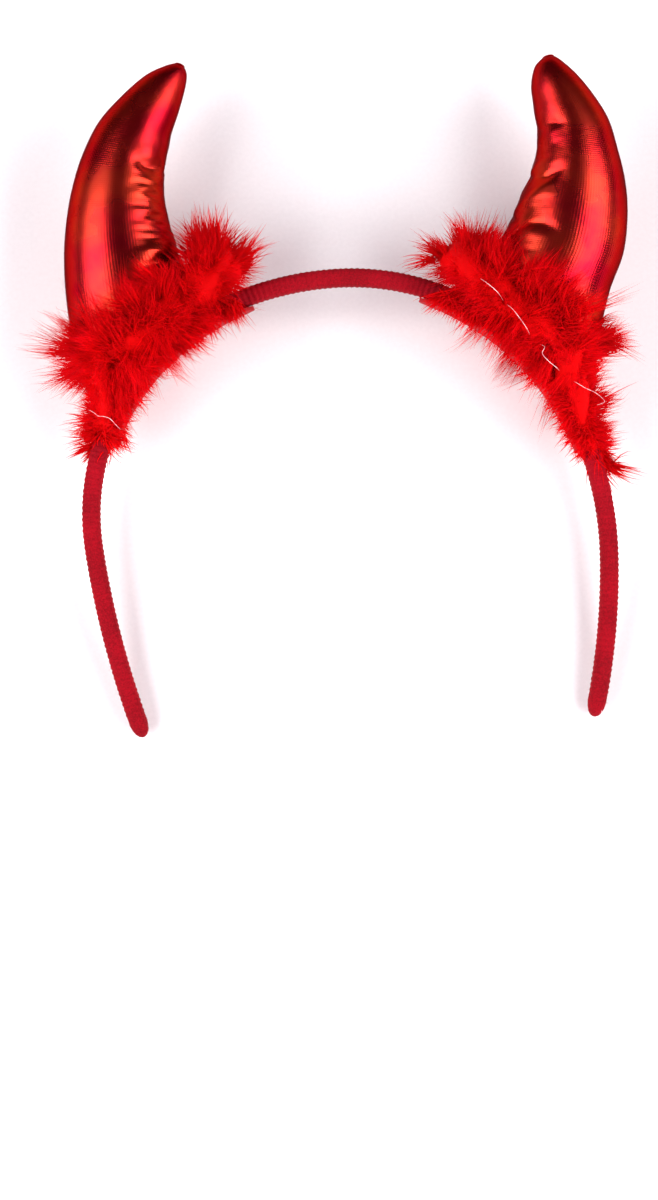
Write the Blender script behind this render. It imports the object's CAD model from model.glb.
"""The dressed devil horns headband.

The fixed frame holds the plain solids. This script dresses them: a ribbed velour sleeve on
the hoop, stuffed foil knit horns with gathered inner seams, rings of marabou round their
feet, felt patches and the thread that binds the feathers. The headband lies on its back on
a pale floor, under two long soft lights, and the camera looks down on its front.

Every form is drawn in millimetres in the worn frame (x to the right, y up towards the horn
tips, w towards the front, the middle of the crown at the origin). WornFrame turns those
places into the frame's metres.
"""

import logging
import math
from collections.abc import Callable
from dataclasses import dataclass, field
from enum import Enum

import bmesh
import bpy
import numpy as np
from mathutils import Matrix, Vector


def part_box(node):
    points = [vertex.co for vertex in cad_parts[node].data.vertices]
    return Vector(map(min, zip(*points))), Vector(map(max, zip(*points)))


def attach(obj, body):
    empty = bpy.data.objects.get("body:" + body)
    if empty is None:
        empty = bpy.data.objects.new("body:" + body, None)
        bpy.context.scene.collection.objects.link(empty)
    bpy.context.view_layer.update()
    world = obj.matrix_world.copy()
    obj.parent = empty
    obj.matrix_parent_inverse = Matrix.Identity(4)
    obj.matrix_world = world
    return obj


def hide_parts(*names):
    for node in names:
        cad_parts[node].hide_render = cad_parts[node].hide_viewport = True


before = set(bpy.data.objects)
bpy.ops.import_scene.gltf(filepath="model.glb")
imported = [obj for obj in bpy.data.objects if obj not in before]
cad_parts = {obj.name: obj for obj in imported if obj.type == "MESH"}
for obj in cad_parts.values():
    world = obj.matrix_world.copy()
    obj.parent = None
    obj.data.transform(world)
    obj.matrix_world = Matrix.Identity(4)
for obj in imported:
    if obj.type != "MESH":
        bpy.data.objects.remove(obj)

log = logging.getLogger("devil_horns")

MM = 0.001
BODY = "root"
FRONT = np.array([0.0, 0.0, 1.0])
ABOVE = np.array([0.0, 1.0, 0.0])

Rows = tuple[tuple[float, ...], ...]


class Side(Enum):
    """The two sides of the headband, as its front is seen."""

    LEFT = "left"
    RIGHT = "right"

    @property
    def sign(self) -> float:
        """Return -1 on the left and 1 on the right."""
        return -1.0 if self is Side.LEFT else 1.0


class Layer(Enum):
    """The layers of feather barbs, from the string outwards."""

    DOWN = "down"
    PLUME = "plume"


@dataclass(frozen=True)
class LayerHabit:
    """How a layer's barbs are drawn: their random shift, shortening, droop and thickness."""

    seed_shift: int
    shortening: float
    droop: float
    thickness: float


LAYER_HABITS = {
    Layer.DOWN: LayerHabit(200, 0.8, 1.2, 1.6),
    Layer.PLUME: LayerHabit(100, 2.0, 1.75, 1.0),
}


def smooth_rows(rows: Rows, positions: np.ndarray) -> np.ndarray:
    """Read a smooth curve through the rows of a table.

    Args:
        rows: The table's rows, all of one length.
        positions: Places along the table, counted in rows.

    Returns:
        One row of numbers for each position.
    """
    table = np.asarray(rows, dtype=float)
    last = len(table) - 1
    start = np.clip(np.floor(positions).astype(int), 0, last)
    share = (positions - start)[:, None]
    before, first, second, after = (
        table[np.clip(start + offset, 0, last)] for offset in (-1, 0, 1, 2)
    )
    slope_in = (second - before) / 2
    slope_out = (after - first) / 2
    bend = 2 * (first - second) + slope_in + slope_out
    ease = 3 * (second - first) - 2 * slope_in - slope_out
    return first + share * (slope_in + share * (ease + share * bend))


def ease_between(low: float, high: float, value: np.ndarray) -> np.ndarray:
    """Return a smooth step from 0 at the low value to 1 at the high value.

    Args:
        low: Where the step starts.
        high: Where the step ends.
        value: The values to read the step at.

    Returns:
        The step's height at each value.
    """
    share = np.clip((value - low) / (high - low), 0.0, 1.0)
    return share * share * (3 - 2 * share)


def unit(vectors: np.ndarray) -> np.ndarray:
    """Return the vectors along the last axis, each made one long.

    Args:
        vectors: The vectors.

    Returns:
        The unit vectors.
    """
    return vectors / np.maximum(np.linalg.norm(vectors, axis=-1, keepdims=True), 1e-12)


def turns_round(count: int) -> np.ndarray:
    """Return turns spread evenly round a circle, in radians."""
    return np.arange(count) * 2 * math.pi / count


def rings_round(middles: np.ndarray, first: np.ndarray, second: np.ndarray,
                along_first: np.ndarray, along_second: np.ndarray) -> np.ndarray:
    """Lay a ring of points round each of a row of places.

    Args:
        middles: The places.
        first: One direction across, for each place or for all.
        second: The other direction across.
        along_first: How far each point lies along the first direction.
        along_second: How far each point lies along the second.

    Returns:
        The points by ring and then round each ring.
    """
    return (middles[:, None] + first[..., None, :] * along_first[..., None]
            + second[..., None, :] * along_second[..., None])


def linear(hex_colour: str) -> tuple[float, float, float, float]:
    """Turn an sRGB hex colour to linear light.

    Args:
        hex_colour: Six hex digits after a hash sign.

    Returns:
        Red, green, blue and alpha.
    """
    channels = []
    for start in (1, 3, 5):
        value = int(hex_colour[start:start + 2], 16) / 255
        channels.append(value / 12.92 if value <= 0.04045 else ((value + 0.055) / 1.055) ** 2.4)
    return (*channels, 1.0)


@dataclass
class Hoop:
    """The springy hoop under its ribbed sleeve, drawn as arcs from the crown down each side."""

    thick: float = 5.4
    deep: float = 8.0
    corner: float = 2.2
    rounded_end: float = 6.0
    tilt: float = math.atan((19.0 - 4.0) / (128.0 - 20.0))
    arcs: dict[Side, Rows] = field(default_factory=lambda: {
        Side.LEFT: ((89.4, 37.1), (66.05, 83.4), (266.0, 56.7)),
        Side.RIGHT: ((72.3, 87.2), (99.0, 38.7), (202.0, 46.5)),
    })

    def length(self, side: Side) -> float:
        """Return the length of one side from the crown to its end."""
        return sum(length for _, length in self.arcs[side])

    def station(self, side: Side, distance: float) -> tuple[np.ndarray, np.ndarray]:
        """Find a place on the hoop's centreline.

        Args:
            side: Which side of the crown.
            distance: How far along the hoop from the crown.

        Returns:
            The place, and the direction that points out of the hoop there.
        """
        turn = 0.0
        place = np.zeros(3)
        for radius, length in self.arcs[side]:
            outward = np.array([side.sign * math.sin(turn), math.cos(turn), 0.0])
            middle = place - outward * radius
            turn += min(distance, length) / radius
            outward = np.array([side.sign * math.sin(turn), math.cos(turn), 0.0])
            place = middle + outward * radius
            distance -= length
            if distance <= 0.0:
                break
        return place, outward

    def line(self, side: Side, step: float = 0.5) -> tuple[np.ndarray, np.ndarray]:
        """Read the whole of one side's centreline.

        Args:
            side: Which side of the crown.
            step: How far apart the places are.

        Returns:
            The places and the directions out of the hoop.
        """
        stations = [self.station(side, distance)
                    for distance in np.arange(0.0, self.length(side), step)]
        return tuple(np.stack(column) for column in zip(*stations))

    def section(self, sides: int, grown: float = 0.0) -> np.ndarray:
        """Return the hoop's rounded section as outward and forward distances.

        Args:
            sides: How many points to put round the section.
            grown: How far outside the hoop the section runs.

        Returns:
            One pair for each point.
        """
        turn = turns_round(sides)
        radius = self.corner + grown
        out = (self.thick / 2 - self.corner) * np.tanh(4 * np.cos(turn)) + radius * np.cos(turn)
        forward = (self.deep / 2 - self.corner) * np.tanh(4 * np.sin(turn))
        forward = forward + radius * np.sin(turn)
        return np.stack([out, forward], axis=1)

    def ring(self, side: Side, distance: float, section: np.ndarray) -> np.ndarray:
        """Place a section round the hoop.

        Args:
            side: Which side of the crown.
            distance: How far along the hoop from the crown.
            section: Pairs of outward and forward distances.

        Returns:
            The section's points in the worn frame.
        """
        place, outward = self.station(side, distance)
        return place + section[:, :1] * outward + section[:, 1:] * FRONT


class WornFrame:
    """Turns places in the worn frame, in millimetres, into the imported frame's metres."""

    def __init__(self, hoop: Hoop) -> None:
        """Fit the hoop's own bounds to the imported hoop's box.

        Args:
            hoop: The hoop, which both frames hold.
        """
        turn = hoop.tilt
        self.turn = np.array([
            [1.0, 0.0, 0.0],
            [0.0, math.cos(turn), -math.sin(turn)],
            [0.0, math.sin(turn), math.cos(turn)],
        ])
        section = hoop.section(24)
        rings = [hoop.ring(side, distance, section) for side in Side
                 for distance in np.arange(0.0, hoop.length(side) - hoop.rounded_end, 1.0)]
        drawn = np.concatenate(rings) @ self.turn.T
        low, high = (np.array(corner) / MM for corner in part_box("headband"))
        self.shift = np.array([low[0] - drawn[:, 0].min(), high[1] - drawn[:, 1].max(),
                               high[2] - drawn[:, 2].max()])

    def metres(self, points: np.ndarray) -> np.ndarray:
        """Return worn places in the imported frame's metres.

        Args:
            points: Places in the worn frame, in millimetres.

        Returns:
            The same places in metres.
        """
        return (np.asarray(points) @ self.turn.T + self.shift) * MM

    def direction(self, vector: tuple[float, float, float]) -> Vector:
        """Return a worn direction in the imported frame."""
        return Vector(self.turn @ np.array(vector))


def add_node(tree: bpy.types.NodeTree, kind: str, settings: dict | None = None,
             links: dict | None = None) -> bpy.types.Node:
    """Add a shader node.

    Args:
        tree: The node tree.
        kind: The node's type name, after ShaderNode.
        settings: Values by attribute name, or by input name or number. A colour ramp's
            stops are rising places from 0 to 1, each with a hex colour.
        links: Output sockets by input name or number.

    Returns:
        The new node.
    """
    node = tree.nodes.new("ShaderNode" + kind)
    for key, value in (settings or {}).items():
        if key == "stops":
            elements = node.color_ramp.elements
            while len(elements) < len(value):
                elements.new(0.5)
            for element, (place, colour) in zip(elements, value):
                element.position = place
                element.color = linear(colour)
        elif isinstance(key, str) and hasattr(node, key):
            setattr(node, key, value)
        else:
            node.inputs[key].default_value = value
    for key, socket in (links or {}).items():
        tree.links.new(socket, node.inputs[key])
    return node


def new_material(name: str) -> tuple[bpy.types.Material, bpy.types.NodeTree]:
    """Make an empty material.

    Args:
        name: The material's name.

    Returns:
        The material and its node tree.
    """
    material = bpy.data.materials.new(name)
    material.use_nodes = True
    material.node_tree.nodes.clear()
    return material, material.node_tree


@dataclass(frozen=True)
class FoilKnit:
    """Polyester knit with a red foil film pressed on: mirror bright, broken up by the stitches."""

    name: str = "foil_knit"
    # Each direction of the knit, with its stitches' pitch in millimetres
    pitches: tuple[tuple[str, float], ...] = (("X", 0.80), ("Y", 0.62))
    # The pitch of the wave texture's bands at a scale of 1
    wave_pitch: float = 2 * math.pi / 20
    crinkle_size: float = 5.0
    crinkle_height: float = 0.35
    stitch_height: float = 0.09
    fresh: str = "#B4301F"
    worn: str = "#A20C20"
    edge: str = "#7E0A38"
    roughness: tuple[float, float] = (0.21, 0.33)

    def material(self) -> bpy.types.Material:
        """Return the foil, whose knit runs along the piece's own UV map in millimetres."""
        material, tree = new_material(self.name)
        cloth = add_node(tree, "UVMap", {"uv_map": "cloth"}).outputs["UV"]
        place = add_node(tree, "TexCoord").outputs["Object"]
        stitches = [add_node(tree, "TexWave", {"bands_direction": way,
                                               "Scale": self.wave_pitch / pitch,
                                               "Distortion": 0.6, "Detail Scale": 0.4},
                             {"Vector": cloth}).outputs["Fac"] for way, pitch in self.pitches]
        knit = add_node(tree, "Math", {"operation": "MULTIPLY"}, dict(enumerate(stitches)))
        crinkle = add_node(tree, "TexNoise", {"Scale": 1 / (self.crinkle_size * MM),
                                              "Detail": 3.0, "Roughness": 0.55},
                           {"Vector": place})
        wear = add_node(tree, "TexNoise", {"Scale": 60.0, "Detail": 5.0}, {"Vector": place})
        wear = wear.outputs["Fac"]
        colour = add_node(tree, "ValToRGB", {"stops": ((0.35, self.worn), (0.62, self.fresh))},
                          {"Fac": wear})
        rough = add_node(tree, "MapRange", {"To Min": self.roughness[0],
                                            "To Max": self.roughness[1]}, {"Value": wear})
        soft = add_node(tree, "Bump", {"Strength": 0.35, "Distance": self.crinkle_height * MM},
                        {"Height": crinkle.outputs["Fac"]})
        fine = add_node(tree, "Bump", {"Strength": 0.36, "Distance": self.stitch_height * MM},
                        {"Height": knit.outputs[0], "Normal": soft.outputs["Normal"]})
        shader = add_node(tree, "BsdfPrincipled", {"Metallic": 1.0, "Coat Weight": 0.03,
                                                   "Coat Roughness": 0.25,
                                                   "Specular Tint": linear(self.edge)},
                          {"Base Color": colour.outputs[0], "Roughness": rough.outputs[0],
                           "Normal": fine.outputs["Normal"]})
        add_node(tree, "OutputMaterial", links={"Surface": shader.outputs[0]})
        return material


@dataclass(frozen=True)
class VelourSleeve:
    """Ribbed stretch velour: deep red with a pale bloom where the pile catches the light."""

    name: str = "velour_sleeve"
    # Coarser than real pile, so that it shows
    pile_size: float = 0.45
    pile_share: float = 0.6
    pile_height: float = 0.15
    deep: str = "#76000E"
    bright: str = "#9C0216"
    bloom: str = "#FF5058"

    def material(self) -> bpy.types.Material:
        """Return the velour, whose ribs are in the mesh."""
        material, tree = new_material(self.name)
        place = add_node(tree, "TexCoord").outputs["Object"]
        pile = add_node(tree, "TexNoise", {"Scale": 1 / (self.pile_size * MM), "Detail": 2.0},
                        {"Vector": place}).outputs["Fac"]
        patches = add_node(tree, "TexNoise", {"Scale": 90.0, "Detail": 3.0}, {"Vector": place})
        piled = add_node(tree, "Math", {"operation": "MULTIPLY", 1: self.pile_share}, {0: pile})
        mixed = add_node(tree, "Math", {"operation": "MULTIPLY_ADD", 1: 1 - self.pile_share},
                         {0: patches.outputs["Fac"], 2: piled.outputs[0]})
        colour = add_node(tree, "ValToRGB", {"stops": ((0.38, self.deep), (0.62, self.bright))},
                          {"Fac": mixed.outputs[0]})
        bump = add_node(tree, "Bump", {"Strength": 0.6, "Distance": self.pile_height * MM},
                        {"Height": pile})
        shader = add_node(tree, "BsdfPrincipled", {"Roughness": 0.85, "Sheen Weight": 0.06,
                                                   "Sheen Roughness": 0.4,
                                                   "Sheen Tint": linear(self.bloom),
                                                   "Specular IOR Level": 0.12},
                          {"Base Color": colour.outputs[0], "Normal": bump.outputs["Normal"]})
        add_node(tree, "OutputMaterial", links={"Surface": shader.outputs[0]})
        return material


@dataclass(frozen=True)
class DyedDown:
    """Dyed marabou barbs: soft saturated red, a little lighter from barb to barb."""

    name: str = "dyed_down"
    deep: str = "#C60003"
    bright: str = "#EC0005"
    glow_depth: float = 1.2

    def material(self) -> bpy.types.Material:
        """Return the feather's red, which follows the barbs' own tone."""
        material, tree = new_material(self.name)
        tone = add_node(tree, "Attribute", {"attribute_name": "tone"})
        colour = add_node(tree, "ValToRGB", {"stops": ((0.0, self.deep), (1.0, self.bright))},
                          {"Fac": tone.outputs["Fac"]})
        shader = add_node(tree, "BsdfPrincipled", {"Roughness": 0.8, "Specular IOR Level": 0.06,
                                                   "Subsurface Weight": 0.55,
                                                   "Subsurface Radius": (1.0, 0.12, 0.12),
                                                   "Subsurface Scale": self.glow_depth * MM},
                          {"Base Color": colour.outputs[0]})
        add_node(tree, "OutputMaterial", links={"Surface": shader.outputs[0]})
        return material


@dataclass(frozen=True)
class WoolFelt:
    """Thin pressed felt: matte, with a mottled tangle of fibres."""

    name: str = "pressed_felt"
    fibre_size: float = 0.7
    fibre_height: float = 0.4
    deep: str = "#84020C"
    bright: str = "#BC0A16"
    bloom: str = "#FF5058"

    def material(self) -> bpy.types.Material:
        """Return the felt."""
        material, tree = new_material(self.name)
        place = add_node(tree, "TexCoord").outputs["Object"]
        fibres = add_node(tree, "TexNoise", {"Scale": 1 / (self.fibre_size * MM), "Detail": 6.0,
                                             "Roughness": 0.7, "Distortion": 1.2},
                          {"Vector": place}).outputs["Fac"]
        colour = add_node(tree, "ValToRGB", {"stops": ((0.35, self.deep), (0.65, self.bright))},
                          {"Fac": fibres})
        bump = add_node(tree, "Bump", {"Strength": 0.8, "Distance": self.fibre_height * MM},
                        {"Height": fibres})
        shader = add_node(tree, "BsdfPrincipled", {"Roughness": 0.95, "Sheen Weight": 0.12,
                                                   "Sheen Tint": linear(self.bloom)},
                          {"Base Color": colour.outputs[0], "Normal": bump.outputs["Normal"]})
        add_node(tree, "OutputMaterial", links={"Surface": shader.outputs[0]})
        return material


@dataclass(frozen=True)
class BindingFilament:
    """Clear nylon filament with a pink cast, a little paler in places."""

    name: str = "nylon_filament"
    tint: str = "#DC8C98"
    pale: str = "#FFE0E2"

    def material(self) -> bpy.types.Material:
        """Return the filament."""
        material, tree = new_material(self.name)
        place = add_node(tree, "TexCoord").outputs["Object"]
        patches = add_node(tree, "TexNoise", {"Scale": 500.0, "Detail": 2.0}, {"Vector": place})
        colour = add_node(tree, "ValToRGB", {"stops": ((0.4, self.tint), (0.6, self.pale))},
                          {"Fac": patches.outputs["Fac"]})
        shader = add_node(tree, "BsdfPrincipled", {"Roughness": 0.25, "IOR": 1.53,
                                                   "Coat Weight": 0.6},
                          {"Base Color": colour.outputs[0]})
        add_node(tree, "OutputMaterial", links={"Surface": shader.outputs[0]})
        return material


def link_object(name: str, data: bpy.types.ID) -> bpy.types.Object:
    """Put a new object in the scene.

    Args:
        name: The object's name.
        data: Its mesh, light or camera.

    Returns:
        The object.
    """
    thing = bpy.data.objects.new(name, data)
    bpy.context.collection.objects.link(thing)
    return thing


def finish_piece(name: str, mesh: bpy.types.Mesh, material: bpy.types.Material) -> bpy.types.Object:
    """Link a mesh as a smooth piece that rides on the headband.

    Args:
        name: The piece's name.
        mesh: Its mesh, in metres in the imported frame.
        material: Its material.

    Returns:
        The piece.
    """
    piece = link_object(name, mesh)
    mesh.materials.clear()
    mesh.materials.append(material)
    mesh.shade_smooth()
    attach(piece, BODY)
    return piece


def swept_shell(rings: np.ndarray, around: float, along: float,
                closed: bool = False) -> bmesh.types.BMesh:
    """Bend a grid into a shell that runs through rings of points.

    Args:
        rings: Points in metres, by ring and then round each ring.
        around: The cloth's length round a ring, for the UV map, in millimetres.
        along: The cloth's length from the first ring to the last, in millimetres.
        closed: Whether the last ring joins the first, rather than both being capped.

    Returns:
        The shell, with a UV map named cloth in millimetres.
    """
    count, sides = rings.shape[:2]
    shell = bmesh.new()
    layer = shell.loops.layers.uv.new("cloth")
    bmesh.ops.create_grid(shell, x_segments=sides, y_segments=count if closed else count - 1,
                          size=0.5, calc_uvs=True)
    for face in shell.faces:
        for loop in face.loops:
            loop[layer].uv = (loop[layer].uv.x * around, loop[layer].uv.y * along)
    rows = count if closed else count - 1
    for corner in shell.verts:
        column = round((corner.co.x + 0.5) * sides) % sides
        row = round((corner.co.y + 0.5) * rows)
        corner.co = rings[row % count, column]
    bmesh.ops.remove_doubles(shell, verts=shell.verts, dist=1e-8)
    if not closed:
        rims = [edge for edge in shell.edges if edge.is_boundary]
        bmesh.ops.holes_fill(shell, edges=rims, sides=0)
    bmesh.ops.recalc_face_normals(shell, faces=shell.faces)
    return shell


def to_mesh(name: str, shape: bmesh.types.BMesh) -> bpy.types.Mesh:
    """Turn a bmesh into a mesh and free it.

    Args:
        name: The mesh's name.
        shape: The bmesh.

    Returns:
        The mesh.
    """
    mesh = bpy.data.meshes.new(name)
    shape.to_mesh(mesh)
    shape.free()
    return mesh


def barb_prototype() -> tuple[np.ndarray, list[list[int]]]:
    """Make one barb as a slim three-sided spike, cut across for its bend.

    Returns:
        Its corners, with the length from 0 to 1 in the last column, and its faces.
    """
    spike = bmesh.new()
    bmesh.ops.create_cone(spike, cap_ends=True, segments=3, radius1=1.0, radius2=0.0,
                          depth=1.0, matrix=Matrix.Translation((0.0, 0.0, 0.5)))
    for height in (0.38, 0.72):
        everything = list(spike.verts) + list(spike.edges) + list(spike.faces)
        bmesh.ops.bisect_plane(spike, geom=everything, plane_co=(0.0, 0.0, height),
                               plane_no=(0.0, 0.0, 1.0))
    spike.verts.index_update()
    corners = np.array([corner.co[:] for corner in spike.verts])
    faces = [[corner.index for corner in face.verts] for face in spike.faces]
    spike.free()
    return corners, faces


@dataclass
class Barbs:
    """Many fine barbs or fibres, one a row, in the worn frame."""

    roots: np.ndarray
    runs: np.ndarray
    bends: np.ndarray
    widths: np.ndarray
    tones: np.ndarray

    def mesh(self, name: str, worn: WornFrame,
             keep_out: Callable[[np.ndarray], np.ndarray] | None = None) -> bpy.types.Mesh:
        """Join bent copies of the barb in one mesh.

        Args:
            name: The mesh's name.
            worn: The worn frame.
            keep_out: What pushes places out of the body that the barbs lie on, if anything.

        Returns:
            The mesh, with each barb's tone as an attribute.
        """
        corners, faces = barb_prototype()
        levels, level = np.unique(corners[:, 2].round(4), return_inverse=True)
        way = levels[None, :, None]
        spine = self.roots[:, None] + self.runs[:, None] * way + self.bends[:, None] * way ** 2
        if keep_out:
            spine = keep_out(spine.reshape(-1, 3)).reshape(spine.shape)
        side_way = unit(np.cross(self.runs, self.runs[:, [1, 2, 0]] + 0.31))
        third = unit(np.cross(self.runs, side_way))
        across = side_way[:, None] * corners[None, :, :1] + third[:, None] * corners[None, :, 1:2]
        places = worn.metres(spine[:, level] + across * self.widths[:, None, None])
        places[..., 2] = np.maximum(places[..., 2], 0.0003 + across[..., 2] * 0.1 * MM)
        count, size = places.shape[:2]
        flat = np.concatenate([np.array(face) for face in faces])
        loops = (flat[None] + size * np.arange(count)[:, None]).reshape(-1)
        sizes = np.tile([len(face) for face in faces], count)
        mesh = bpy.data.meshes.new(name)
        mesh.vertices.add(count * size)
        mesh.vertices.foreach_set("co", places.reshape(-1))
        mesh.loops.add(len(loops))
        mesh.loops.foreach_set("vertex_index", loops)
        mesh.polygons.add(len(sizes))
        mesh.polygons.foreach_set("loop_start", np.cumsum(sizes) - sizes)
        mesh.update(calc_edges=True)
        tone = mesh.attributes.new("tone", "FLOAT", "POINT")
        tone.data.foreach_set("value", np.repeat(self.tones, size))
        return mesh


@dataclass
class Sleeve:
    """The ribbed velour sleeve over the hoop, from end to end."""

    hoop: Hoop
    worn: WornFrame
    rib_pitch: float = 1.6
    rib_height: float = 0.22
    rings_per_rib: int = 5
    sides: int = 28
    fibres: int = 2200
    fibre_lengths: tuple[float, float] = (0.35, 1.1)
    fibre_widths: tuple[float, float] = (0.025, 0.05)
    fibre_depth: float = 0.2
    fibre_lean: float = 0.7
    fibre_bend: float = 0.3
    fibre_tone: float = 0.6
    bare_end: float = 4.0
    rib_wobble: float = 0.35
    around: float = 22.0
    along: float = 350.0
    end_rows: Rows = ((7.0, 1.0), (4.5, 0.97), (2.8, 0.87), (1.4, 0.7), (0.45, 0.46), (0.0, 0.14))

    def build(self, material: bpy.types.Material) -> bpy.types.Object:
        """Build the sleeve.

        Args:
            material: The velour.

        Returns:
            The sleeve, which stands for the hoop's node.
        """
        section = self.hoop.section(self.sides, grown=-self.rib_height / 2)
        halves: dict[Side, list[np.ndarray]] = {}
        step = self.rib_pitch / self.rings_per_rib
        for side in Side:
            length = self.hoop.length(side)
            plain = np.arange(step / 2, length - self.end_rows[0][0], step)
            places = [(distance, 1.0) for distance in plain]
            places += [(length - back, share) for back, share in self.end_rows]
            halves[side] = [self.rib_ring(side, distance, section * share, share)
                            for distance, share in places]
        rings = np.stack(list(reversed(halves[Side.LEFT])) + halves[Side.RIGHT])
        shell = swept_shell(self.worn.metres(rings), self.around, self.along)
        piece = finish_piece("velour_sleeve", to_mesh("velour_sleeve", shell), material)
        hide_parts("headband")
        return piece

    def fuzz(self, material: bpy.types.Material) -> bpy.types.Object:
        """Stand short fibres off the sleeve, as worn velour has.

        Args:
            material: The velour.

        Returns:
            The fibres' piece.
        """
        draw = np.random.default_rng(5)
        section = self.hoop.section(self.sides)
        roots, ways = [], []
        for side in Side:
            furthest = self.hoop.length(side) - self.bare_end
            for distance in draw.uniform(0.0, furthest, self.fibres // 2):
                point = section[draw.integers(self.sides)][None]
                roots.append(self.hoop.ring(side, distance, point)[0])
                ways.append(self.hoop.ring(side, distance, point * 2)[0] - roots[-1])
        roots, ways = np.array(roots), unit(np.array(ways))
        length = draw.uniform(*self.fibre_lengths, (len(roots), 1))
        runs = unit(ways + draw.normal(0.0, self.fibre_lean, ways.shape)) * length
        bends = draw.normal(0.0, self.fibre_bend, ways.shape) * length
        widths = draw.uniform(*self.fibre_widths, len(roots))
        barbs = Barbs(roots - self.fibre_depth * ways, runs, bends, widths,
                      np.full(len(roots), self.fibre_tone))
        return finish_piece("velour_fuzz", barbs.mesh("velour_fuzz", self.worn), material)

    def rib_ring(self, side: Side, distance: float, section: np.ndarray,
                 share: float) -> np.ndarray:
        """Return one ring of the sleeve, swelled by the ribs.

        Args:
            side: Which side of the crown.
            distance: How far along the hoop.
            section: The section at that place.
            share: How much of the full section this is.

        Returns:
            The ring's points in the worn frame.
        """
        around = np.arctan2(section[:, 1], section[:, 0])
        wobble = self.rib_wobble * np.sin(2.3 * around + 0.13 * distance * side.sign)
        phase = 2 * math.pi * distance / self.rib_pitch + wobble
        swell = self.rib_height * share * (0.5 + 0.5 * np.cos(phase))
        outwards = unit(section)
        return self.hoop.ring(side, distance, section + outwards * swell[:, None])


# The stuffing's cloth settings, as Blender names them
CLOTH_SETTINGS = {
    "quality": 6,
    "mass": 0.12,
    "tension_stiffness": 40.0,
    "compression_stiffness": 12.0,
    "shear_stiffness": 8.0,
    "bending_stiffness": 0.6,
    "use_pressure": True,
    "uniform_pressure_force": 4.0,
    "pin_stiffness": 1.0,
}


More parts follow.
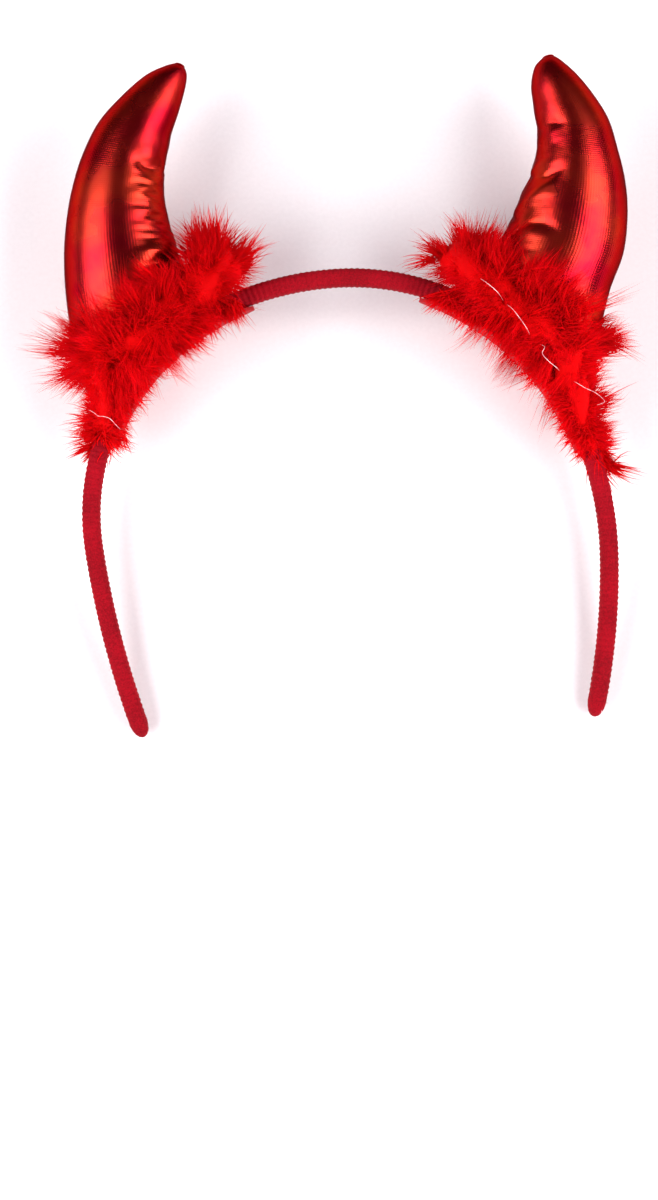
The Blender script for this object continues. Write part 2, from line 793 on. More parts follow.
@dataclass
class Horn:
    """One stuffed horn of foil knit, gathered beside its inner seam."""

    side: Side
    hoop: Hoop
    worn: WornFrame
    rows: Rows
    folds: Rows
    pucker_height: float
    sections: int = 140
    sides: int = 64
    back_shift: float = 1.5
    fill: float = 0.85
    swell_cap: float = 0.9
    held_at_foot: int = 14
    held_at_tip: int = 7
    stuffing_frames: int = 20
    around: float = 96.0
    along: float = 122.0
    wander: float = 0.65
    # How the gathers change with the degrees round from the inner seam
    wander_wave: float = 8.5
    fitful_wave: float = 11.0
    gather_span: float = 60.0
    gather_rise: tuple[float, float] = (4.0, 34.0)
    pucker_start: tuple[float, float] = (10.0, 30.0)
    pucker_end: tuple[float, float] = (52.0, 80.0)
    # Each seam's depth in millimetres and its half width in degrees
    inner_seam: tuple[float, float] = (0.4, 4.0)
    outer_seam: tuple[float, float] = (0.25, 3.5)
    puckers: Rows = ((2.05, 0.05, 0.4), (2.9, -0.08, 2.0), (1.3, 0.11, 4.1))
    foot_shares: tuple[float, ...] = (0.06, 0.3, 0.5, 0.68, 0.82, 0.92)
    tip_shares: tuple[float, ...] = (0.94, 0.8, 0.55, 0.25)
    tip_rise: float = 0.7
    groove: float = 4.6
    groove_edge: tuple[float, float] = (-0.3, 0.5)
    hoop_gap: float = 0.3
    foot_rise: float = 0.1
    outline_rows: int = 56

    def grid(self) -> np.ndarray:
        """Work out the horn's sections, from the foot to the tip.

        Returns:
            The rings in the worn frame.
        """
        positions = np.linspace(0, len(self.rows) - 1, self.sections)
        rows = smooth_rows(self.rows, positions)
        outer = np.c_[rows[:, 0:2], np.zeros(len(rows))]
        inner = np.c_[rows[:, 2:4], np.zeros(len(rows))]
        middle = (outer + inner) / 2
        across = (outer - inner) / 2
        half = np.linalg.norm(across, axis=1)[:, None]
        turn = turns_round(self.sides)
        swell = self.swell(inner[:, 1:2], turn[None])
        out = (half + swell) * np.cos(turn)
        forward = (rows[:, 4:5] / 2 + swell) * np.sin(turn)
        rings = rings_round(middle, unit(across), FRONT, out, forward)
        rise = unit(middle[-1] - middle[-4])
        foot = [middle[0] + (rings[0] - middle[0]) * share for share in self.foot_shares]
        tip = [middle[-1] + (rings[-1] - middle[-1]) * share
               + rise * self.tip_rise * math.sqrt(1 - share * share) for share in self.tip_shares]
        return self.rest_on_hoop(np.concatenate([np.stack(foot), rings, np.stack(tip)]))

    def rest_on_hoop(self, points: np.ndarray) -> np.ndarray:
        """Lift the foot off the hoop and off the space under it.

        Args:
            points: Places in the worn frame.

        Returns:
            The same places, none of them in the hoop or below its inner face.
        """
        places, outward = self.hoop.line(self.side)
        flat = points[..., :2].reshape(-1, 1, 2) - places[None, :, :2]
        nearest = np.argmin((flat ** 2).sum(axis=2), axis=1)
        height = (flat[np.arange(len(nearest)), nearest] * outward[nearest, :2]).sum(axis=1)
        height = height.reshape(points.shape[:-1])
        start, end = (self.groove + edge for edge in self.groove_edge)
        beside = ease_between(start, end, np.abs(points[..., 2]))
        half = self.hoop.thick / 2
        lowest = (1 - beside) * (half + self.hoop_gap) - beside * (half - self.foot_rise)
        lift = np.maximum(0.0, lowest - height)
        return points + lift[..., None] * outward[nearest].reshape(points.shape)

    def swell(self, height: np.ndarray, turn: np.ndarray) -> np.ndarray:
        """Work out how far the gathers and seams push the cloth out.

        Args:
            height: The inner seam's height at each section.
            turn: Each point's turn round the section, from the outer seam.

        Returns:
            The swell for each section and point, in millimetres.
        """
        degrees = np.degrees(turn)
        from_seam = np.abs(180.0 - degrees)
        back = np.where(degrees > 180.0, self.back_shift, 0.0)
        total = np.zeros(np.broadcast(height, turn).shape)
        for rank, (middle, amount, width, lean, reach, at_seam) in enumerate(self.folds):
            wander = self.wander * np.sin(from_seam / self.wander_wave + 2.4 * rank)
            fold = middle + back + lean * (from_seam / self.gather_span) ** 1.5 + wander
            spread = width * (0.75 + 0.35 * from_seam / self.gather_span)
            power = 2.0 if amount > 0 else 1.35
            fade = 1 - ease_between(reach * 0.6, reach, from_seam)
            rise = at_seam + (1 - at_seam) * ease_between(*self.gather_rise, from_seam)
            fitful = 0.6 + 0.4 * np.sin(from_seam / self.fitful_wave + 1.7 * rank + back)
            profile = np.exp(-np.abs((height - fold) / spread) ** power)
            total = total + amount * profile * fade * rise * fitful
        (deep, wide), (shallow, narrow) = self.inner_seam, self.outer_seam
        inner_seam = -deep * np.exp(-((from_seam / wide) ** 2))
        outer_seam = -shallow * np.exp(-(((180.0 - from_seam) / narrow) ** 2))
        return total + self.pucker(height, from_seam + back) + inner_seam + outer_seam

    def pucker(self, height: np.ndarray, place: np.ndarray) -> np.ndarray:
        """Work out the small uneven puckers between the gathers.

        Args:
            height: The inner seam's height at each section.
            place: Each point's place round the section, in degrees from the inner seam.

        Returns:
            The swell for each section and point, in millimetres.
        """
        low, high = (self.folds[-1][0], self.folds[0][0])
        zone = (ease_between(low - 2, low + 4, height) * (1 - ease_between(high - 6, high, height))
                * ease_between(*self.pucker_start, place)
                * (1 - ease_between(*self.pucker_end, place)))
        ripple = np.zeros(zone.shape)
        for turns, lean, shift in self.puckers:
            ripple = ripple + np.sin(turns * height + lean * place + shift)
        return self.pucker_height * zone * ripple

    def outside(self, points: np.ndarray, clear: float = 0.35) -> np.ndarray:
        """Push places out of the horn, to the front or to the back.

        Args:
            points: Places in the worn frame, one a row.
            clear: How far off the cloth the pushed places lie.

        Returns:
            The places, none of them in the horn.
        """
        rows = smooth_rows(self.rows, np.linspace(0, len(self.rows) - 1, self.outline_rows))
        middle = (rows[:, 0:2] + rows[:, 2:4]) / 2
        across = (rows[:, 0:2] - rows[:, 2:4]) / 2
        half = np.linalg.norm(across, axis=1)
        away = points[:, None, :2] - middle[None]
        beside = (away * (across / half[:, None])[None]).sum(axis=2) / half[None]
        square = (away ** 2).sum(axis=2) - (beside * half[None]) ** 2
        near = np.argmin(square + 100.0 * (np.abs(beside) > 1.6), axis=1)
        rank = np.arange(len(points))
        share = beside[rank, near]
        level = np.sqrt(np.clip(1 - share ** 2, 0.0, None)) * rows[near, 4] / 2 + clear
        inside = (np.abs(share) < 1) & (square[rank, near] < 9.0) & (np.abs(points[:, 2]) < level)
        pushed = points.copy()
        front = np.where(points[:, 2] < 0, -1.0, 1.0)
        pushed[inside, 2] = (level * front)[inside]
        return pushed

    def build(self, material: bpy.types.Material) -> bpy.types.Object:
        """Build the horn and stuff it.

        Args:
            material: The foil knit.

        Returns:
            The horn, which stands for its node.
        """
        name = "foil_horn_" + self.side.value
        shell = swept_shell(self.worn.metres(self.grid()), self.around, self.along)
        piece = finish_piece(name, to_mesh(name, shell), material)
        self.stuff(piece)
        self.refine(piece)
        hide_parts("horn_" + self.side.value)
        return piece

    def stuff(self, piece: bpy.types.Object) -> None:
        """Blow the cloth out with a short simulation, held at its seams and foot.

        Args:
            piece: The horn's plain shell.
        """
        mesh = piece.data
        start = np.empty(len(mesh.vertices) * 3)
        mesh.vertices.foreach_get("co", start)
        start = start.reshape(-1, 3)
        rings = self.grid()
        places = self.worn.metres(rings).reshape(-1, 3)
        held = np.zeros(places.shape[0], dtype=bool).reshape(rings.shape[:2])
        held[:, 0] = True
        held[:, self.sides // 2] = True
        held[:self.held_at_foot] = True
        held[-self.held_at_tip:] = True
        kept = places[held.reshape(-1)]
        group = piece.vertex_groups.new(name="held")
        for index, point in enumerate(start):
            if np.min(np.abs(kept - point).sum(axis=1)) < 1e-6:
                group.add([index], 1.0, "REPLACE")
        cloth = piece.modifiers.new("stuffing", "CLOTH")
        for key, value in CLOTH_SETTINGS.items():
            setattr(cloth.settings, key, value)
        cloth.settings.effector_weights.gravity = 0.0
        cloth.settings.vertex_group_mass = group.name
        cloth.collision_settings.use_collision = False
        scene = bpy.context.scene
        for frame_number in range(1, self.stuffing_frames + 1):
            scene.frame_set(frame_number)
        shown = piece.evaluated_get(bpy.context.evaluated_depsgraph_get())
        blown = np.empty_like(start).reshape(-1)
        shown.data.vertices.foreach_get("co", blown)
        blown = blown.reshape(-1, 3)
        moved = blown - start
        far = np.linalg.norm(moved, axis=1, keepdims=True)
        log.info("%s swelled by up to %.2f mm", piece.name, far.max() / MM)
        moved *= np.minimum(1.0, self.swell_cap * MM / np.maximum(far, 1e-9))
        piece.modifiers.clear()
        piece.vertex_groups.clear()
        mesh.vertices.foreach_set("co", (start + moved).reshape(-1))
        mesh.update()
        scene.frame_set(1)

    def refine(self, piece: bpy.types.Object) -> None:
        """Subdivide the cloth once and apply it.

        Args:
            piece: The horn.
        """
        smooth = piece.modifiers.new("smooth", "SUBSURF")
        smooth.levels = 1
        smooth.render_levels = 1
        shown = piece.evaluated_get(bpy.context.evaluated_depsgraph_get())
        refined = bpy.data.meshes.new_from_object(shown)
        piece.modifiers.clear()
        old = piece.data
        piece.data = refined
        bpy.data.meshes.remove(old)


@dataclass(frozen=True)
class Marabou:
    """How the plumes grow from the string, and the barbs from the plumes.

    Ranges are a lowest and a highest value, lengths are in millimetres, and spreads are
    those of a normal curve.
    """

    string_places: int = 1600
    front_from: float = -2.0
    upward_share: float = 0.52
    upward_degrees: tuple[float, float] = (12.0, 92.0)
    downward_degrees: tuple[float, float] = (-84.0, -8.0)
    side_lean: float = 0.38
    plume_shares: tuple[float, float] = (0.75, 1.12)
    lifts: tuple[float, float] = (-3.0, 4.5)
    full_reach: float = 19.0
    tuft_lean: float = 0.3
    tuft_width: float = 1.5
    tuft_shares: tuple[float, float] = (0.75, 1.15)
    fringe_places: tuple[float, float] = (-0.86, 0.94)
    fringe_least: float = 4.0
    fringe_more: float = 10.0
    fringe_forward: tuple[float, float] = (0.1, 0.8)
    fringe_lean: float = 0.3
    fringe_shares: tuple[float, float] = (0.7, 1.1)
    plume_bend: float = 0.2
    plume_tones: tuple[float, float] = (0.1, 0.9)
    plume_widths: tuple[float, float] = (1.7, 3.1)
    barb_spread: float = 0.62
    barb_opening: float = 2.2
    barb_shortening: float = 0.5
    barb_curl: float = 0.07
    barb_scatter: float = 0.5
    barb_widths: tuple[float, float] = (0.13, 0.23)
    tone_spread: float = 0.12
    lumps: int = 14
    lump_height: float = 0.045
    core_reach: float = 12.0
    core_tone: float = 0.15


@dataclass
class FeatherRing:
    """A ring of marabou round a horn's foot: a string with feathers bound all along it."""

    horn: Horn
    worn: WornFrame
    turns: tuple[tuple[float, float], tuple[float, float]]
    rows: Rows
    tufts: Rows
    span: tuple[float, float]
    seed: int
    plumes: int = 480
    tuft_plumes: int = 9
    barbs: int = 10900
    core_radius: float = 5.6
    stub: float = 0.62
    back_share: float = 0.5
    lower_share: float = 0.9
    fringe_plumes: int = 84
    fringe_length: float = 7.5
    section_sides: int = 36
    section_rings: int = 90
    core_around: float = 40.0
    core_along: float = 110.0
    lowest: float = 0.4
    down: Marabou = Marabou()

    def __post_init__(self) -> None:
        """Work out the directions along and above the foot."""
        inner, outer = (np.array([*point, 0.0]) for point in self.turns)
        self.side = self.horn.side
        self.foot = (inner + outer) / 2
        self.along = unit(outer - inner)
        self.above = np.array([-self.along[1], self.along[0], 0.0]) * self.side.sign
        self.axes = np.stack([self.along, self.above, FRONT])

    def turned(self, places: np.ndarray) -> np.ndarray:
        """Return worn places of columns along, above and forward.

        Args:
            places: Places or directions measured from the foot.

        Returns:
            The same in the worn frame's directions, without the foot's own place.
        """
        return places @ self.axes

    def string(self, count: int) -> tuple[np.ndarray, np.ndarray, np.ndarray]:
        """Lay the string in a loop round the foot, by the front and back by the rear.

        Args:
            count: How many places to read.

        Returns:
            Places from the foot, the directions out of the loop, and the feathers' length.
        """
        last = len(self.rows) - 1
        around = np.linspace(0.0, 2.0, 721)[:-1]
        position = np.where(around < 1.0, around, 2.0 - around) * last
        rows = smooth_rows(self.rows, position)
        sign = np.where(around < 1.0, 1.0, -1.0)
        loop = np.stack([rows[:, 0], rows[:, 1], rows[:, 2] * sign], axis=1)
        step = np.linalg.norm(np.roll(loop, -1, axis=0) - loop, axis=1)
        length = np.concatenate([[0.0], np.cumsum(step)])
        wanted = np.arange(count) / count * length[-1]
        closed = np.vstack([loop, loop[:1]])
        places = np.stack([np.interp(wanted, length, closed[:, k]) for k in range(3)], axis=1)
        reaches = np.interp(wanted, length, np.append(rows[:, 3], rows[0, 3]))
        tangent = unit(np.roll(places, -3, axis=0) - np.roll(places, 3, axis=0))
        outward = unit(np.cross(tangent, ABOVE))
        flip = np.sign(np.sum(outward * (places - places.mean(axis=0)), axis=1, keepdims=True))
        return places, outward * np.where(flip == 0, 1.0, flip), reaches

    def plume_field(self, draw: np.random.Generator) -> tuple[np.ndarray, np.ndarray, np.ndarray]:
        """Bind the plumes along the string and in the tufts.

        Args:
            draw: The random source.

        Returns:
            Each plume's root, its direction and its length, measured from the foot.
        """
        down, count = self.down, self.plumes
        places, outward, reach = self.string(down.string_places)
        weight = np.where(places[:, 2] > down.front_from, 1.0, self.back_share)
        spot = draw.choice(len(places), count, p=weight / weight.sum())
        outs = outward[spot]
        upward = draw.uniform(0.0, 1.0, count) < down.upward_share
        around = np.radians(np.where(upward, draw.uniform(*down.upward_degrees, count),
                                     draw.uniform(*down.downward_degrees, count)))
        lean = outs * np.cos(around)[:, None] + ABOVE * np.sin(around)[:, None]
        tangent = unit(np.cross(outs, ABOVE))
        lean = unit(lean + tangent * draw.normal(0.0, down.side_lean, count)[:, None])
        length = reach[spot] * draw.uniform(*down.plume_shares, count)
        length = length * (self.stub + (1 - self.stub) * np.abs(np.sin(around)))
        length = length * np.where(upward, 1.0, self.lower_share)
        lift = draw.uniform(*down.lifts, count) * reach[spot] / down.full_reach
        tufts = np.repeat(np.array(self.tufts), self.tuft_plumes, axis=0)
        spread = draw.normal(0.0, 1.0, (len(tufts), 3))
        tuft_leans = unit(tufts[:, 3:6] + spread[:, [2, 0, 1]] * down.tuft_lean)
        tuft_lengths = tufts[:, 6] * draw.uniform(*down.tuft_shares, len(tufts))
        low_roots, low_leans, low_lengths = self.fringe(draw)
        roots = [places[spot] + ABOVE * lift[:, None],
                 tufts[:, :3] + spread * down.tuft_width, low_roots]
        return (np.concatenate(roots), np.concatenate([lean, tuft_leans, low_leans]),
                np.concatenate([length, tuft_lengths, low_lengths]))

    def fringe(self, draw: np.random.Generator) -> tuple[np.ndarray, np.ndarray, np.ndarray]:
        """Hang short plumes over the patch's front edge.

        Args:
            draw: The random source.

        Returns:
            Each plume's root, its direction and its length, measured from the foot.
        """
        down = self.down
        share = draw.uniform(*down.fringe_places, self.fringe_plumes)
        start, end = self.span
        stations = [self.horn.hoop.station(self.side, start + (end - start) * (1 + part) / 2)
                    for part in share]
        places, outward = (np.stack(column) for column in zip(*stations))
        forward = down.fringe_least + down.fringe_more * np.sqrt(1 - share ** 2)
        roots = places - 0.5 * outward + FRONT * forward[:, None]
        leans = FRONT * draw.uniform(*down.fringe_forward, len(share))[:, None] - outward
        leans = unit(leans + draw.normal(0.0, down.fringe_lean, leans.shape))
        lengths = self.fringe_length * draw.uniform(*down.fringe_shares, len(share))
        return (roots - self.foot) @ self.axes.T, leans @ self.axes.T, lengths

    def feathers(self, layer: Layer, material: bpy.types.Material) -> bpy.types.Object:
        """Fan one layer of barbs out of every plume.

        Args:
            layer: The short down next to the string, or the long plumes.
            material: The dyed down.

        Returns:
            The layer's piece.
        """
        down, habit = self.down, LAYER_HABITS[layer]
        draw = np.random.default_rng(self.seed)
        roots, leans, lengths = self.plume_field(draw)
        count, barbs = len(roots), self.barbs
        bend = draw.normal(0.0, down.plume_bend, (count, 3))
        tone = draw.uniform(*down.plume_tones, count)
        wide = draw.uniform(*down.plume_widths, count)
        draw = np.random.default_rng(self.seed + habit.seed_shift)
        which = draw.permutation(np.resize(np.arange(count), barbs))
        spread = draw.normal(0.0, down.barb_spread, (barbs, 3)) * wide[which][:, None]
        shorter = down.barb_shortening * draw.uniform(0.0, 1.0, barbs) ** habit.shortening
        full = (lengths[which] * (1 - shorter))[:, None]
        curl = draw.normal(0.0, down.barb_curl, (barbs, 3)) * full
        runs = leans[which] * full + spread * down.barb_opening
        bends = bend[which] * full + curl - spread * habit.droop
        starts = roots[which] + draw.normal(0.0, down.barb_scatter, (barbs, 3))
        widths = draw.uniform(*down.barb_widths, barbs) * habit.thickness
        tones = np.clip(tone[which] + draw.normal(0.0, down.tone_spread, barbs), 0.0, 1.0)
        name = f"marabou_{layer.value}_{self.side.value}"
        fan = Barbs(self.foot + self.turned(starts), self.turned(runs), self.turned(bends),
                    widths, tones)
        mesh = fan.mesh(name, self.worn, self.horn.outside)
        return finish_piece(name, mesh, material)

    def core(self, material: bpy.types.Material) -> bpy.types.Object:
        """Make the dense down next to the string, as a soft lumpy ring.

        Args:
            material: The dyed down.

        Returns:
            The core, which stands for the ring's node.
        """
        places, outward, reach = self.string(self.section_rings)
        turn = turns_round(self.section_sides)
        draw = np.random.default_rng(self.seed + 7)
        lumps = np.ones((self.section_rings, self.section_sides))
        along = turns_round(self.section_rings)[:, None]
        for _ in range(self.down.lumps):
            waves, rolls = draw.integers(3, 15), draw.integers(1, 6)
            shift = draw.uniform(0, 2 * math.pi)
            lumps += self.down.lump_height * np.sin(waves * along + rolls * turn[None] + shift)
        share = np.minimum(reach, self.down.core_reach)[:, None] / self.down.core_reach
        radius = share * self.core_radius * lumps
        rings = rings_round(places, outward, ABOVE, radius * np.cos(turn), radius * np.sin(turn))
        points = self.worn.metres(self.foot + self.turned(rings))
        points[..., 2] = np.maximum(points[..., 2], self.lowest * MM)
        shell = swept_shell(points, self.core_around, self.core_along, closed=True)
        name = "marabou_core_" + self.side.value
        mesh = to_mesh(name, shell)
        tone = mesh.attributes.new("tone", "FLOAT", "POINT")
        tone.data.foreach_set("value", np.full(len(mesh.vertices), self.down.core_tone))
        piece = finish_piece(name, mesh, material)
        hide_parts("marabou_" + self.side.value)
        return piece


@dataclass
class FeltPatch:
    """The felt patch under the hoop that closes a horn's foot."""

    side: Side
    hoop: Hoop
    worn: WornFrame
    start: float
    end: float
    deep: float = 29.0
    thick: float = 1.2
    gap: float = 0.3
    steps: int = 40
    sides: int = 24
    around: float = 60.0

    def build(self, material: bpy.types.Material) -> bpy.types.Object:
        """Build the patch.

        Args:
            material: The felt.

        Returns:
            The patch, which stands for its node.
        """
        half = (self.end - self.start) / 2
        top = -self.hoop.thick / 2 - self.gap
        turn = turns_round(self.sides)
        rings = []
        for share in -np.cos(math.pi * (np.arange(self.steps) + 0.5) / self.steps):
            wide = self.deep / 2 * math.sqrt(1 - share * share)
            section = np.stack([
                top - self.thick / 2 + self.thick / 2 * np.tanh(3 * np.sin(turn)),
                wide * np.tanh(2.2 * np.cos(turn)) / math.tanh(2.2),
            ], axis=1)
            rings.append(self.hoop.ring(self.side, self.start + half * (1 + share), section))
        shell = swept_shell(self.worn.metres(np.stack(rings)), self.around, 2 * half)
        name = "felt_patch_" + self.side.value
        piece = finish_piece(name, to_mesh(name, shell), material)
        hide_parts("base_patch_" + self.side.value)
        return piece


@dataclass(frozen=True)
class Thread:
    """A length of the filament that binds the feathers, seen where the down parts."""

    name: str
    points: Rows
    radius: float = 0.13
    sides: int = 6
    rings_per_point: int = 6
    around: float = 1.0
    along: float = 30.0

    def build(self, worn: WornFrame, material: bpy.types.Material) -> bpy.types.Object:
        """Build the thread.

        Args:
            worn: The worn frame.
            material: The filament.

        Returns:
            The thread's piece.
        """
        count = len(self.points) * self.rings_per_point
        path = smooth_rows(self.points, np.linspace(0, len(self.points) - 1, count))
        tangent = unit(np.gradient(path, axis=0))
        first = unit(np.cross(tangent, np.array([0.2, 0.1, 1.0])))
        second = np.cross(tangent, first)
        turn = turns_round(self.sides)
        rings = rings_round(path, first, second, self.radius * np.cos(turn),
                            self.radius * np.sin(turn))
        shell = swept_shell(worn.metres(rings), self.around, self.along)
        return finish_piece(self.name, to_mesh(self.name, shell), material)


# The filament where it shows. Columns: x, y and w in the worn frame
THREADS = (
    Thread("thread_right_top", (
        (39.8, -3.2, 17.0), (41.0, -4.6, 22.5), (42.9, -6.5, 25.0), (44.6, -8.2, 23.5),
        (46.0, -9.8, 18.0),
    ), 0.085),
    Thread("thread_right_upper", (
        (47.0, -11.0, 18.0), (48.2, -12.6, 23.5), (50.2, -15.6, 25.5), (52.2, -18.6, 23.5),
        (53.2, -20.2, 18.0),
    ), 0.085),
    Thread("thread_right_middle", (
        (55.6, -22.6, 18.0), (56.9, -23.9, 24.0), (56.1, -25.8, 25.0), (57.8, -28.0, 24.5),
        (60.0, -29.8, 22.5), (61.2, -30.6, 17.0),
    ), 0.085),
    Thread("thread_right_low", (
        (64.4, -33.2, 15.0), (66.2, -34.6, 19.5), (68.2, -36.0, 20.5), (71.0, -37.2, 17.0),
        (73.0, -38.6, 14.5), (73.9, -39.9, 13.0), (71.8, -40.6, 12.0),
    ), 0.07),
    Thread("thread_left", (
        (-74.2, -35.4, 11.0), (-72.6, -36.4, 15.5), (-71.4, -37.4, 15.0), (-69.8, -37.6, 14.0),
        (-68.0, -38.4, 16.5), (-66.6, -40.0, 15.0), (-65.4, -41.4, 12.0),
    ), 0.08),
    Thread("thread_tip", (
        (68.0, -126.0, 1.5), (69.6, -128.4, 2.6), (69.2, -129.8, 1.4), (68.0, -129.6, 0.2),
        (67.6, -128.0, 0.4), (68.4, -126.4, 1.4),
    )),
)

HORN_ROWS = {
    Side.LEFT: (
        (-66.5, -43.5, -38.0, -18.5, 25.0),
        (-73.6, -34.5, -42.5, -10.0, 27.5),
        (-78.0, -19.0, -43.9, -3.0, 29.0),
        (-79.9, -4.0, -45.0, 4.0, 29.5),
        (-80.1, 9.0, -46.9, 11.0, 29.0),
        (-79.0, 19.5, -48.8, 18.5, 27.5),
        (-76.8, 29.5, -49.9, 26.5, 25.5),
        (-73.4, 39.0, -49.3, 34.5, 23.0),
        (-68.4, 48.1, -47.6, 42.5, 20.0),
        (-61.7, 55.2, -44.8, 50.0, 16.5),
        (-54.2, 61.2, -42.6, 56.8, 12.5),
        (-48.2, 63.8, -41.9, 60.8, 8.5),
        (-45.4, 64.4, -42.5, 63.0, 4.5),
    ),
    Side.RIGHT: (
        (65.5, -50.0, 37.0, -19.0, 25.0),
        (71.6, -40.0, 41.6, -11.0, 27.5),
        (73.8, -23.0, 42.2, -4.0, 29.0),
        (77.6, -8.0, 43.8, 3.2, 29.5),
        (82.3, 3.5, 47.2, 9.8, 29.5),
        (84.0, 15.0, 50.8, 17.0, 28.5),
        (83.7, 24.5, 54.6, 24.2, 27.0),
        (82.0, 33.5, 57.5, 31.5, 25.0),
        (79.7, 42.4, 58.6, 39.0, 22.0),
        (75.7, 49.7, 58.0, 46.5, 19.0),
        (71.1, 55.9, 57.5, 53.0, 15.5),
        (66.8, 60.1, 58.7, 58.4, 10.5),
        (64.6, 61.6, 61.1, 61.0, 5.5),
    ),
}

# The gathers. Columns: height, swell (less than 0 for a crease), width, lean, reach in
# degrees from the inner seam, share of the swell at that seam
HORN_FOLDS = {
    Side.LEFT: (
        (38.5, 0.6, 2.8, 3.0, 90.0, 0.4),
        (35.3, 0.45, 1.1, 2.6, 82.0, 0.3),
        (32.4, -1.7, 1.4, 1.6, 92.0, 0.6),
        (30.3, 0.35, 0.9, -0.9, 80.0, 0.3),
        (28.8, -0.4, 0.7, 2.3, 66.0, 0.3),
        (26.8, 0.45, 1.4, -1.8, 84.0, 0.2),
        (25.2, -0.6, 0.6, 0.4, 58.0, 0.4),
        (23.9, 0.3, 0.8, 1.2, 72.0, 0.3),
        (22.7, -0.45, 0.8, -2.6, 78.0, 0.3),
        (20.6, 0.5, 1.3, 0.2, 84.0, 0.4),
        (18.9, -0.5, 0.6, 1.9, 60.0, 0.3),
        (17.4, 0.3, 0.9, -2.0, 76.0, 0.3),
        (15.8, -0.7, 0.9, -3.4, 84.0, 0.3),
        (12.9, 1.4, 2.0, -3.2, 92.0, 0.5),
        (8.4, -1.7, 1.3, -1.2, 96.0, 0.6),
        (4.0, 1.2, 2.6, 0.0, 95.0, 0.6),
        (0.0, -0.7, 1.5, 0.0, 90.0, 0.4),
    ),
    Side.RIGHT: (
        (43.5, 0.3, 2.2, 1.5, 80.0, 0.3),
        (39.8, -0.9, 1.1, 0.6, 84.0, 0.6),
        (36.4, 0.3, 1.8, 2.6, 74.0, 0.2),
        (33.0, -0.3, 0.9, -1.6, 62.0, 0.4),
        (29.0, 0.7, 1.9, 1.8, 76.0, 0.5),
        (25.7, -1.4, 1.2, 0.6, 78.0, 1.0),
        (21.0, 0.9, 2.8, 0.5, 90.0, 1.0),
        (17.6, 0.25, 1.2, 2.6, 70.0, 0.4),
        (14.2, -0.9, 1.2, -1.4, 92.0, 0.9),
        (10.6, 0.4, 1.5, 0.0, 84.0, 0.8),
        (8.0, -0.4, 1.0, -1.0, 80.0, 0.6),
        (5.0, 0.7, 2.4, -1.0, 90.0, 0.6),
    ),
}

# How far the small puckers between the gathers stand out
PUCKER_HEIGHTS = {Side.LEFT: 0.1, Side.RIGHT: 0.025}

# Where the felt patches start and end, in millimetres along the hoop from the crown
PATCH_SPANS = {Side.LEFT: (27.0, 90.0), Side.RIGHT: (24.0, 93.0)}

RING_TURNS = {
    Side.LEFT: ((-36.0, -1.0), (-76.0, -38.0)),
    Side.RIGHT: ((36.0, -1.5), (75.5, -43.0)),
}
# The feather strings. Columns: along the foot, above it, forward reach, the feathers' length
RING_ROWS = {
    Side.LEFT: (
        (-33.0, 3.5, 0.0, 12.0),
        (-30.5, 3.0, 5.5, 13.0),
        (-23.0, 3.0, 10.5, 15.5),
        (-14.0, 3.5, 13.5, 18.0),
        (-4.0, 4.5, 15.0, 19.5),
        (6.0, 6.5, 15.0, 19.5),
        (13.0, 4.0, 12.0, 15.0),
        (18.0, -1.0, 8.5, 10.0),
        (22.0, -4.5, 4.5, 9.0),
        (24.5, -6.0, 0.0, 8.5),
    ),
    Side.RIGHT: (
        (-33.0, 3.0, 0.0, 12.0),
        (-30.5, 2.5, 5.5, 13.0),
        (-23.0, 2.5, 10.5, 15.5),
        (-13.0, 3.5, 13.5, 17.5),
        (-3.0, 4.0, 15.0, 18.5),
        (6.0, 4.5, 15.0, 18.5),
        (13.0, -0.5, 12.0, 11.5),
        (20.5, -5.0, 9.0, 10.0),
        (28.0, -9.0, 4.5, 7.5),
        (32.0, -11.0, 0.0, 6.5),
    ),
}

# Tufts that stand out of the rings. Columns: along, above and forward of the root, the same
# of the lean, length
TUFT_ROWS = {
    Side.LEFT: (
        (11.0, 12.0, 7.0, 0.8, 0.6, 0.1, 15.0),
        (13.0, 9.0, 5.0, 0.95, 0.2, 0.1, 13.0),
        (9.0, 14.0, 9.0, 0.3, 0.9, 0.2, 12.0),
        (14.0, 9.0, -4.0, 0.9, 0.35, -0.2, 12.0),
        (25.0, -6.0, 2.0, 0.8, 0.6, 0.1, 10.0),
        (28.0, -8.0, 0.0, 0.95, 0.1, 0.0, 8.0),
        (-30.0, 8.5, 3.0, -0.4, 0.9, 0.15, 13.0),
        (-34.0, 6.0, 1.0, -0.8, 0.6, 0.0, 12.0),
        (-35.0, 1.0, 0.0, -0.98, 0.15, 0.0, 10.0),
        (-16.0, 9.0, 15.0, -0.1, 0.95, 0.1, 10.0),
        (-2.0, 10.0, 18.0, 0.15, 0.9, 0.2, 11.0),
    ),
    Side.RIGHT: (
        (9.0, 12.0, 5.0, 0.45, 0.88, 0.1, 11.0),
        (12.0, 10.0, 5.0, 0.3, 0.95, 0.1, 9.5),
        (21.0, -2.0, 3.0, 0.5, 0.85, 0.1, 9.0),
        (29.0, -9.0, 1.0, 0.85, 0.5, 0.0, 8.0),
        (35.0, -11.0, 0.0, 0.98, 0.05, 0.0, 10.0),
        (-29.0, 8.0, 3.0, -0.3, 0.93, 0.15, 12.0),
        (-33.0, 5.0, 1.0, -0.75, 0.65, 0.0, 12.0),
        (-35.0, -0.5, 0.0, -0.98, 0.1, 0.0, 10.0),
        (-15.0, 9.0, 15.0, 0.0, 0.95, 0.1, 11.0),
        (-2.0, 10.0, 18.0, 0.0, 0.95, 0.2, 12.0),
    ),
}


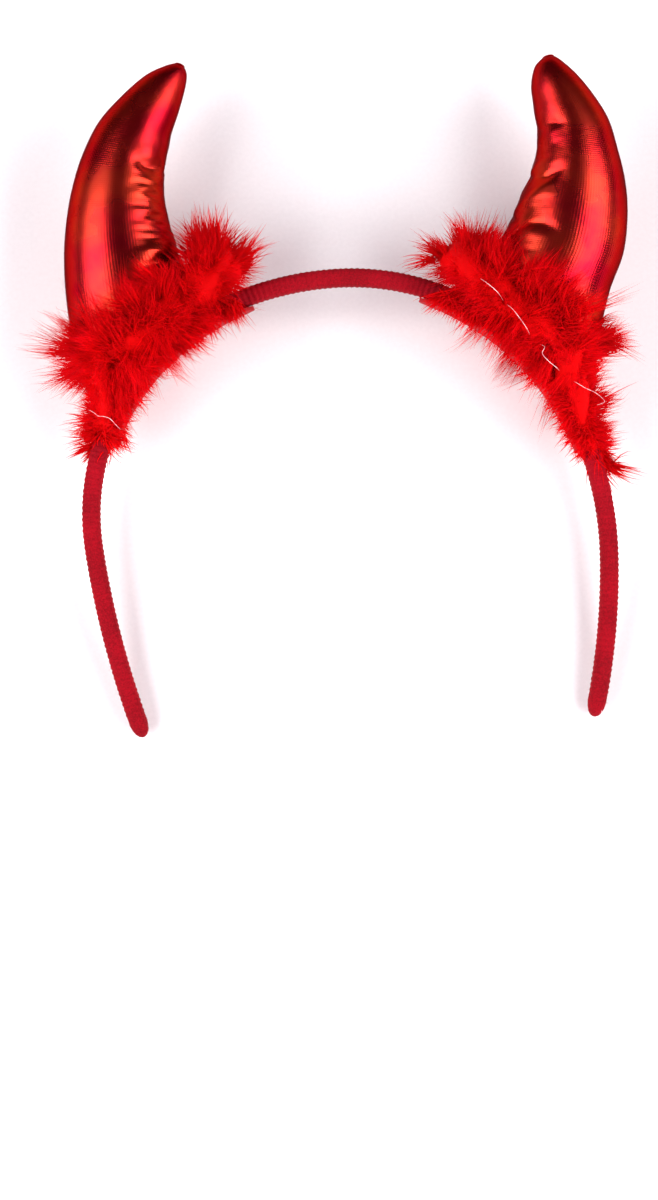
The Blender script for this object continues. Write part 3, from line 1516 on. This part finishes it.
@dataclass
class Studio:
    """The pale floor, the two long soft lights and the camera over the headband's front."""

    worn: WornFrame
    picture_scale: float = 0.29
    picture_size: tuple[int, int] = (658, 1200)
    picture_aim: tuple[float, float] = (-7.7, -93.1)
    roll: float = math.radians(2.6)
    distance: float = 1300.0
    sensor: float = 24.0
    light_wide: float = 0.70
    light_long: float = 1.25
    light_away: float = 0.95
    light_middle: float = -0.34
    light_lean: float = math.radians(48.0)
    light_power: float = 17.0
    floor_size: float = 8.0
    paper: tuple[tuple[float, str], ...] = ((0.3, "#F1F1F2"), (0.7, "#F5F5F6"))
    walls: tuple[tuple[float, str], ...] = ((0.0, "#6C6C72"), (0.25, "#504850"),
                                            (0.6, "#6A3E5C"))
    air_strength: float = 0.8

    def camera(self) -> None:
        """Set the camera over the front, rolled as in the photograph."""
        lens = bpy.data.cameras.new("camera")
        lens.sensor_fit = "VERTICAL"
        lens.sensor_height = self.sensor
        tall = self.picture_size[1] * self.picture_scale
        lens.lens = self.sensor * self.distance / tall
        lens.clip_start = 0.05
        lens.clip_end = 30.0
        eye = link_object("camera", lens)
        turn = self.roll
        right = self.worn.direction((math.cos(turn), -math.sin(turn), 0.0))
        up = self.worn.direction((math.sin(turn), math.cos(turn), 0.0))
        back = self.worn.direction(tuple(FRONT))
        place = self.worn.metres(np.array([*self.picture_aim, self.distance]))
        eye.matrix_world = Matrix((
            (right.x, up.x, back.x, place[0]),
            (right.y, up.y, back.y, place[1]),
            (right.z, up.z, back.z, place[2]),
            (0.0, 0.0, 0.0, 1.0),
        ))
        bpy.context.scene.camera = eye

    def softbox(self, name: str, side: float) -> None:
        """Hang one long soft light beside the headband, aimed at it.

        Args:
            name: The light's name.
            side: -1 for the left and 1 for the right.
        """
        light = bpy.data.lights.new(name, "AREA")
        light.shape = "RECTANGLE"
        light.size = self.light_wide
        light.size_y = self.light_long
        light.energy = self.light_power
        lamp = link_object(name, light)
        turn = self.light_lean * side
        lamp.location = (self.light_away * math.sin(turn), self.light_middle,
                         self.light_away * math.cos(turn))
        lamp.rotation_euler = (0.0, turn, 0.0)

    def floor(self) -> None:
        """Lay the pale floor."""
        sheet = bmesh.new()
        bmesh.ops.create_grid(sheet, x_segments=8, y_segments=8, size=self.floor_size)
        mesh = to_mesh("floor", sheet)
        material, tree = new_material("pale_paper")
        place = add_node(tree, "TexCoord").outputs["Object"]
        grain = add_node(tree, "TexNoise", {"Scale": 900.0, "Detail": 2.0}, {"Vector": place})
        colour = add_node(tree, "ValToRGB", {"stops": self.paper}, {"Fac": grain.outputs["Fac"]})
        shader = add_node(tree, "BsdfPrincipled", {"Roughness": 0.9, "Specular IOR Level": 0.1},
                          {"Base Color": colour.outputs[0]})
        add_node(tree, "OutputMaterial", links={"Surface": shader.outputs[0]})
        mesh.materials.append(material)
        floor = link_object("floor", mesh)

    def air(self) -> None:
        """Set pale walls round the studio under a dark ceiling."""
        world = bpy.data.worlds.new("studio")
        bpy.context.scene.world = world
        world.use_nodes = True
        tree = world.node_tree
        tree.nodes.clear()
        place = add_node(tree, "TexCoord").outputs["Generated"]
        height = add_node(tree, "SeparateXYZ", links={0: place}).outputs["Z"]
        colour = add_node(tree, "ValToRGB", {"stops": self.walls}, {"Fac": height})
        sky = add_node(tree, "Background", {"Strength": self.air_strength},
                       {"Color": colour.outputs[0]})
        add_node(tree, "OutputWorld", links={"Surface": sky.outputs[0]})

    def build(self) -> None:
        """Build the whole studio."""
        self.camera()
        self.floor()
        self.air()
        for name, side in (("left_softbox", -1.0), ("right_softbox", 1.0)):
            self.softbox(name, side)
        bpy.context.scene.view_settings.view_transform = "Standard"


def main() -> None:
    """Dress the headband, piece by piece."""
    logging.basicConfig(level=logging.INFO, format="%(message)s")
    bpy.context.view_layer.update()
    hoop = Hoop()
    worn = WornFrame(hoop)
    Studio(worn).build()
    velour = VelourSleeve().material()
    foil = FoilKnit().material()
    down = DyedDown().material()
    felt = WoolFelt().material()
    filament = BindingFilament().material()
    sleeve = Sleeve(hoop, worn)
    log.info("sleeve: %s", sleeve.build(velour).name)
    log.info("fuzz: %s", sleeve.fuzz(velour).name)
    for seed, side in enumerate(Side):
        horn = Horn(side, hoop, worn, HORN_ROWS[side], HORN_FOLDS[side],
                    PUCKER_HEIGHTS[side])
        log.info("horn: %s", horn.build(foil).name)
        log.info("patch: %s", FeltPatch(side, hoop, worn, *PATCH_SPANS[side]).build(felt).name)
        ring = FeatherRing(horn, worn, RING_TURNS[side], RING_ROWS[side], TUFT_ROWS[side],
                           PATCH_SPANS[side], 31 + 17 * seed)
        log.info("core: %s", ring.core(down).name)
        for layer in Layer:
            log.info("feathers: %s", ring.feathers(layer, down).name)
    for thread in THREADS:
        log.info("thread: %s", thread.build(worn, filament).name)


if __name__ == "__main__":
    main()
